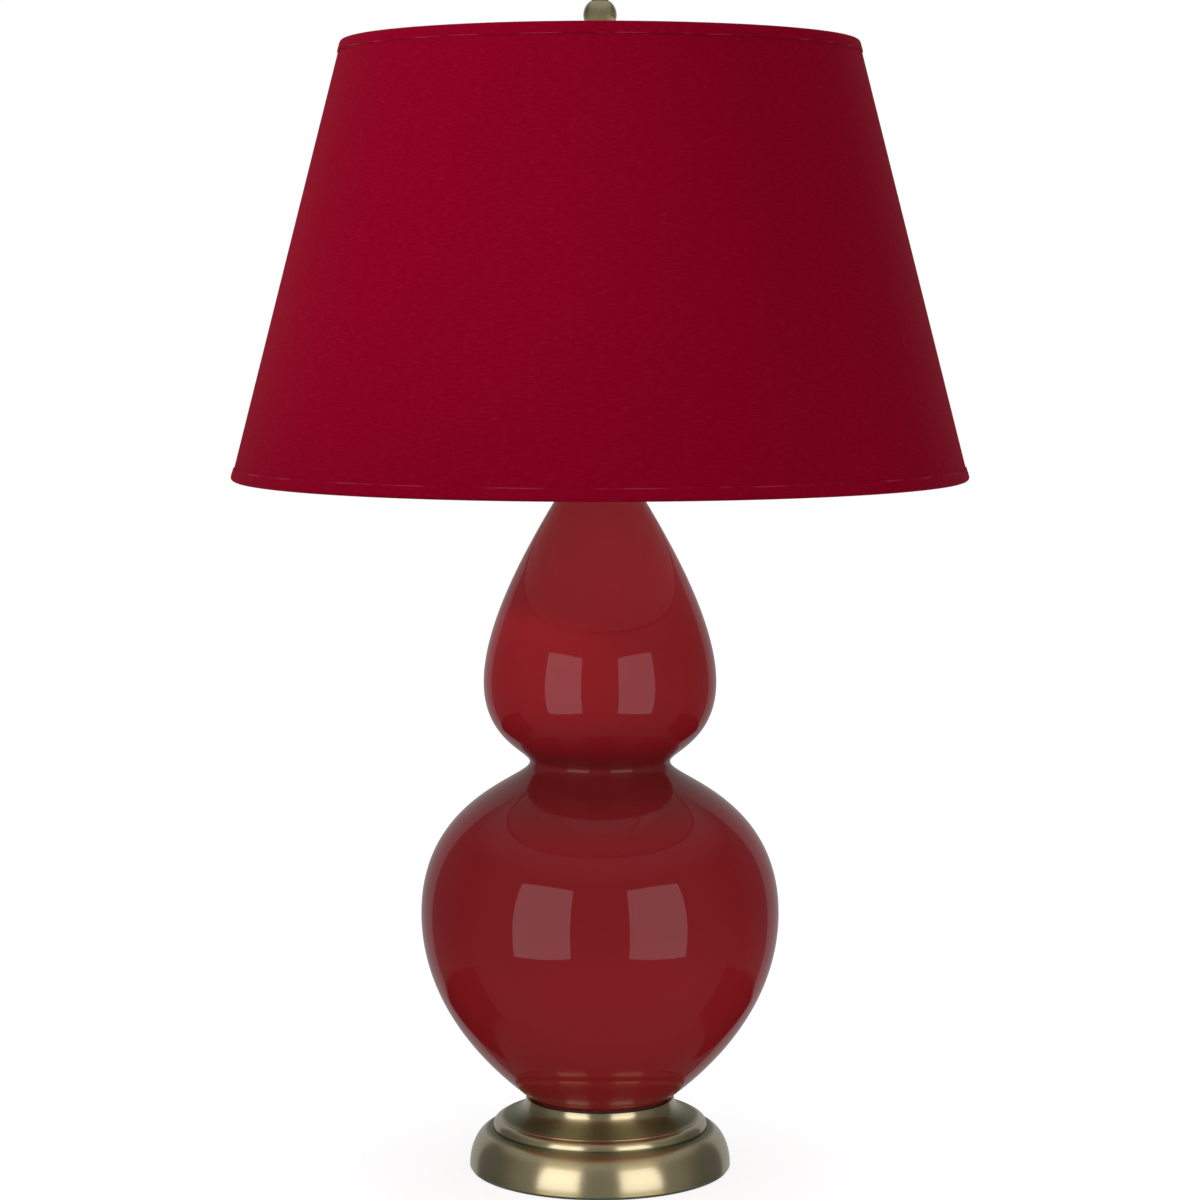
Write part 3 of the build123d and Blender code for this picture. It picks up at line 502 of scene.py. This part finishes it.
red_fabric, tree, shader = principled("red_fabric")
_, high, turn, place = polar(tree)
middle_radius, weft_pitch, warp_threads = 0.215, 0.00062, 2200
arc = product(tree, turn, middle_radius)
weft = math_node(tree, "SINE", product(tree, high, 2 * pi / weft_pitch))
warp = math_node(tree, "SINE", product(tree, turn, warp_threads))
weave = product(tree, weft, warp)
slub_place = joined(tree, product(tree, arc, 150), 0, product(tree, high, 1100))
slubs = smooth_range(tree, noise(tree, slub_place, 1.0, 2.0), 0.50, 0.70)
upright_place = joined(tree, product(tree, arc, 1100), 0, product(tree, high, 120))
uprights = smooth_range(tree, noise(tree, upright_place, 1.0, 2.0), 0.52, 0.72)
threads = math_node(tree, "MAXIMUM", slubs, product(tree, uprights, 0.5))
dye = noise(tree, place, 7.0, 2.0)
tone = mixed(tree, dye, (0.208, 0.0008, 0.0128), (0.232, 0.0010, 0.0148))
tone = mixed(tree, product(tree, threads, 0.4), tone, (0.285, 0.0060, 0.0280))
tone = mixed(tree, math_node(tree, "MULTIPLY_ADD", weave, 0.10, 0.10), tone, (0.12, 0.0, 0.006))
# Painted highlight: a faint pale line along each hem's ledge, broken along its length by noise.
highlight_breaks_place = joined(tree, product(tree, arc, 30), 0, 0)
highlight_breaks = smooth_range(tree, noise(tree, highlight_breaks_place, 1.0, 2.0), 0.46, 0.60)
for ledge in hem_ledges:
    away = math_node(tree, "ABSOLUTE", math_node(tree, "SUBTRACT", high, ledge))
    painted_ledge_highlight = product(tree, highlight_breaks, smooth_range(tree, away, 0.0001, 0.0005, 0.5, 0.0))
    tone = mixed(tree, painted_ledge_highlight, tone, (0.36, 0.040, 0.065))
link(tree, tone, shader.inputs["Base Color"])
shader.inputs["Roughness"].default_value = 0.9
shader.inputs["Specular IOR Level"].default_value = 0.0
shader.inputs["Sheen Weight"].default_value = 0.09
shader.inputs["Sheen Roughness"].default_value = 0.35
shader.inputs["Sheen Tint"].default_value = (0.90, 0.40, 0.42, 1)
height = math_node(tree, "MULTIPLY_ADD", weave, 0.5, threads)
bump(tree, shader, height, 0.25, 0.0002)
fabric.data.materials.append(red_fabric)
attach(fabric, "shade")
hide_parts("shade_fabric")


def lap(name, run, middle, width, thickness, material):
    """The upper layer of a lapped seam: a strip under a millimetre thick, up the cone, on the fabric or
    inside the liner. Its middle and its width are in degrees round the lamp."""
    begin = radians(middle - width / 2)
    strip = turned(name, corners(*run), steps=6, begin=begin, sweep=radians(width))
    thickened(strip, thickness, 0)
    strip.data.materials.append(material)
    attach(strip, "shade")
    return strip


seam_run = [(178.36, 773.6), (250.86, 493.15)]
seam = lap("shade_fabric_lap", seam_run, 97, 2.3, cloth_thickness, red_fabric)

# ---------------------------------------------------------------- Shade's liner
# White styrene sheet rolled into a cone and lapped at the back: it holds the fabric's shape and throws
# the light back. Matte, with a faint orange-peel skin.
liner = turned(
    "shade_liner_styrene",
    [
        *corners((176.35, 777.05), (249.95, 488.75), (249.05, 488.5)),
        *corners((249.05, 488.5), (175.45, 776.85), (176.35, 777.05)),
    ],
    steps=240,
)
styrene, tree, shader = principled("white_styrene")
place = tree.nodes.new("ShaderNodeTexCoord").outputs["Object"]
skin = noise(tree, place, 260.0, 2.0)
link(tree, mixed(tree, skin, (0.84, 0.82, 0.77), (0.88, 0.865, 0.82)), shader.inputs["Base Color"])
shader.inputs["Roughness"].default_value = 0.55
bump(tree, shader, skin, 0.15, 0.0002)
liner.data.materials.append(styrene)
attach(liner, "shade")
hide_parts("shade_liner")
liner_run = [(176.9, 768.0), (247.3, 492.5)]
lap("shade_liner_lap", liner_run, 102, 3.4, 0.0007, styrene)

# ---------------------------------------------------------------- Finial
# A hollow spun brass ball with a button on top, on a turned stem and foot, in the base's antique
# finish. It screws down on the harp stud and clamps the shade.
finial = turned(
    "finial_ball",
    [
        *corners((5.1, 770.55), (8.3, 770.55), (8.6, 770.85), (8.6, 772.6), (8.4, 772.9)),
        [(8.4, 772.9), (6.9, 772.95), (6.8, 775.0), (6.8, 777.0)],
        *corners((6.8, 777.0), (6.8, 782.4)),
        [(6.8, 782.4), (8.2, 782.6), (8.2, 784.8), (6.8, 785.0)],
        [(6.8, 785.0), (6.5, 787.0), (5.4, 787.6), (5.0, 789.55)],
        [(5.0, 789.55), (9.2, 791.6), (11.4, 795.6), (11.4, 799.8)],
        [(11.4, 799.8), (11.4, 803.6), (9.6, 807.0), (6.93, 808.85)],
        *corners((6.93, 808.85), (6.0, 808.75), (5.8, 808.95)),
        [(5.8, 808.95), (6.35, 809.7), (5.3, 811.0), (4.2, 811.0)],
        *corners((4.2, 811.0), (0, 811.0)),
    ],
    steps=128,
)
finial.data.materials.append(antique_brass)
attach(finial, "finial")
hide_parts("finial_knob")

# ---------------------------------------------------------------- Bulb
# A soft-white glass globe blown with a neck that is cemented into its screw cap. The frost is inside,
# so the outside keeps a faint gloss.
glass = turned(
    "bulb_globe_glass",
    [
        *corners((11.9, 579.5), (12.3, 581.7)),
        [(12.3, 581.7), (12.3, 605.7), (17.1, 623.0), (27.44, 637.79)],
        [(27.44, 637.79), (31.4, 643.4), (33.5, 650.1), (33.5, 657.0)],
        [(33.5, 657.0), (33.5, 675.5), (18.5, 690.5), (0, 690.5)],
    ],
    steps=144,
    fineness=20,
)
soft_white, tree, shader = principled("soft_white_glass")
place = tree.nodes.new("ShaderNodeTexCoord").outputs["Object"]
frost = noise(tree, place, 500.0, 3.0)
link(tree, mixed(tree, frost, (0.88, 0.88, 0.86), (0.93, 0.93, 0.915)), shader.inputs["Base Color"])
shader.inputs["Roughness"].default_value = 0.18
shader.inputs["Subsurface Weight"].default_value = 0.2
shader.inputs["Subsurface Radius"].default_value = (0.004, 0.004, 0.004)
bump(tree, shader, frost, 0.04, 0.0001)
glass.data.materials.append(soft_white)
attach(glass, "bulb")
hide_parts("bulb_glass")

# ---------------------------------------------------------------- Screw cap, screw shell and stud
# The bulb's cap and the socket's screw shell are thin aluminium tube, rolled with the same coarse round
# thread. The harp's stud is turned from bar, brassed like the harp, with a fine thread for the finial.
screw_pitch, stud_pitch = 0.00363, 0.00094


def finish(name, dark, light, rough, metal=0.0, grain=400.0, relief=0.1):
    """A material whose colour wanders between two tones, with a fine skin."""
    made, tree, shader = principled(name)
    place = tree.nodes.new("ShaderNodeTexCoord").outputs["Object"]
    wander = noise(tree, place, grain, 4.0, 0.6)
    link(tree, mixed(tree, wander, dark, light), shader.inputs["Base Color"])
    link(tree, math_node(tree, "MULTIPLY_ADD", wander, 0.12, rough - 0.06), shader.inputs["Roughness"])
    shader.inputs["Metallic"].default_value = metal
    bump(tree, shader, wander, relief, 0.0001)
    return made


def rows(radius, low, high, step):
    """Points up a straight wall, close enough together to carry a thread."""
    count = int(round((high - low) / step))
    return [(radius, low + (high - low) * k / count) for k in range(count + 1)]


def threaded(piece, pitch, depth, low, high):
    """Roll a right-hand thread into a turned piece between two heights, fading out at its ends. A
    negative depth rolls it outwards."""
    for vertex in piece.data.vertices:
        point = vertex.co
        fade = min(point.z - low, high - point.z) / pitch
        around = hypot(point.x, point.y)
        if fade > 0 and around > depth:
            wave = 0.5 - 0.5 * cos(2 * pi * point.z / pitch - atan2(point.y, point.x))
            keep = 1 - depth * min(fade, 1) * wave / around
            point.x *= keep
            point.y *= keep


screw_cap = turned(
    "bulb_cap_rolled",
    [
        *corners((12.75, 560.75), (13.0, 560.75), *rows(13.1, 560.95, 580.9, 0.3), (12.95, 581.65)),
        *corners((12.95, 581.65), (12.6, 581.65), *reversed(rows(12.7, 560.95, 580.9, 0.3))),
        *corners((12.7, 560.95), (12.75, 560.75)),
    ],
    steps=96,
)
threaded(screw_cap, screw_pitch, 0.0007, 0.5625, 0.5785)
screw_shell = turned(
    "socket_screw_shell_rolled",
    [
        *corners((11.05, 556.02), (13.5, 556.02), *rows(13.88, 556.4, 575.7, 0.3), (13.8, 575.98)),
        *corners((13.8, 575.98), (13.42, 575.98), *reversed(rows(13.42, 556.6, 575.7, 0.3))),
        *corners((13.42, 556.6), (11.05, 556.48), (11.05, 556.02)),
    ],
    steps=96,
)
threaded(screw_shell, screw_pitch, -0.0004, 0.5580, 0.5750)
stud = turned(
    "harp_stud_threaded",
    [
        *corners((0, 763.5), (3.7, 763.5), (4.0, 763.8), (4.0, 764.7), (3.7, 764.99), (2.6, 764.99)),
        *corners((2.6, 764.99), (2.6, 767.52), (7.7, 767.52), (8.0, 767.8), (8.0, 768.7), (7.7, 768.98)),
        *corners((7.7, 768.98), *rows(3.17, 768.98, 782.9, 0.12), (2.6, 783.45), (0, 783.45)),
    ],
    steps=48,
)
threaded(stud, stud_pitch, 0.0004, 0.7692, 0.7829)
drawn_aluminium = finish("drawn_aluminium", (0.66, 0.66, 0.66), (0.80, 0.80, 0.79), 0.30, 1.0)
brassed_wire = finish("brassed_wire", (0.52, 0.42, 0.22), (0.64, 0.53, 0.30), 0.26, 1.0)
for piece, node, body, slot, material in (
    (screw_cap, "bulb_cap", "bulb", "screw_aluminium", drawn_aluminium),
    (screw_shell, "screw_shell", "lamp", "screw_aluminium", drawn_aluminium),
    (stud, "harp_stud", "stud", "harp_finish", brassed_wire),
):
    piece.data.materials.append(material)
    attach(piece, body)
    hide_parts(node)

# ---------------------------------------------------------------- Small pieces kept from the frame
# Wire, stampings, mouldings and fasteners whose shapes are right as they are. Their triangles are
# welded and smoothed by modifiers, and each gets its own finish.
for node in cad.values():
    if node.hide_render:
        continue
    weld = node.modifiers.new("weld", "WELD")
    weld.merge_threshold = 1e-6
    split = node.modifiers.new("crease", "EDGE_SPLIT")
    split.split_angle = radians(32)
    node.data.polygons.foreach_set("use_smooth", [True] * len(node.data.polygons))

finishes = {
    "socket_brass": finish("bright_brass", (0.60, 0.47, 0.22), (0.72, 0.58, 0.30), 0.22, 1.0),
    "harp_finish": brassed_wire,
    "zinc_steel": finish("zinc_plate", (0.52, 0.53, 0.54), (0.68, 0.68, 0.67), 0.34, 1.0),
    "white_steel": finish("white_enamel", (0.80, 0.79, 0.76), (0.86, 0.85, 0.82), 0.32),
    "iron": finish("raw_iron", (0.055, 0.055, 0.06), (0.14, 0.13, 0.125), 0.62, 0.7, 160.0, 0.6),
    "seat_rubber": finish("black_rubber", (0.020, 0.020, 0.020), (0.035, 0.035, 0.035), 0.75),
    "liner_card": finish("fibre_card", (0.22, 0.15, 0.09), (0.34, 0.25, 0.16), 0.85, 0.0, 900.0, 0.4),
    "phenolic": finish("moulded_black", (0.018, 0.018, 0.018), (0.035, 0.034, 0.033), 0.42),
    "knob_black": finish("knob_plastic", (0.015, 0.015, 0.015), (0.028, 0.027, 0.027), 0.24),
    "bushing_nylon": finish("brown_nylon", (0.16, 0.10, 0.04), (0.23, 0.155, 0.07), 0.45),
    "bulb_black_glass": finish("black_glass", (0.010, 0.010, 0.014), (0.025, 0.025, 0.03), 0.12),
    "screw_aluminium": drawn_aluminium,
    "tip_solder": finish("solder", (0.42, 0.42, 0.43), (0.58, 0.58, 0.58), 0.38, 1.0, 220.0, 0.5),
}
for row in frame["record"]["subparts"]:
    node = cad[row["node"]]
    if not node.hide_render:
        node.data.materials.clear()
        node.data.materials.append(finishes[row["material_slot"]])
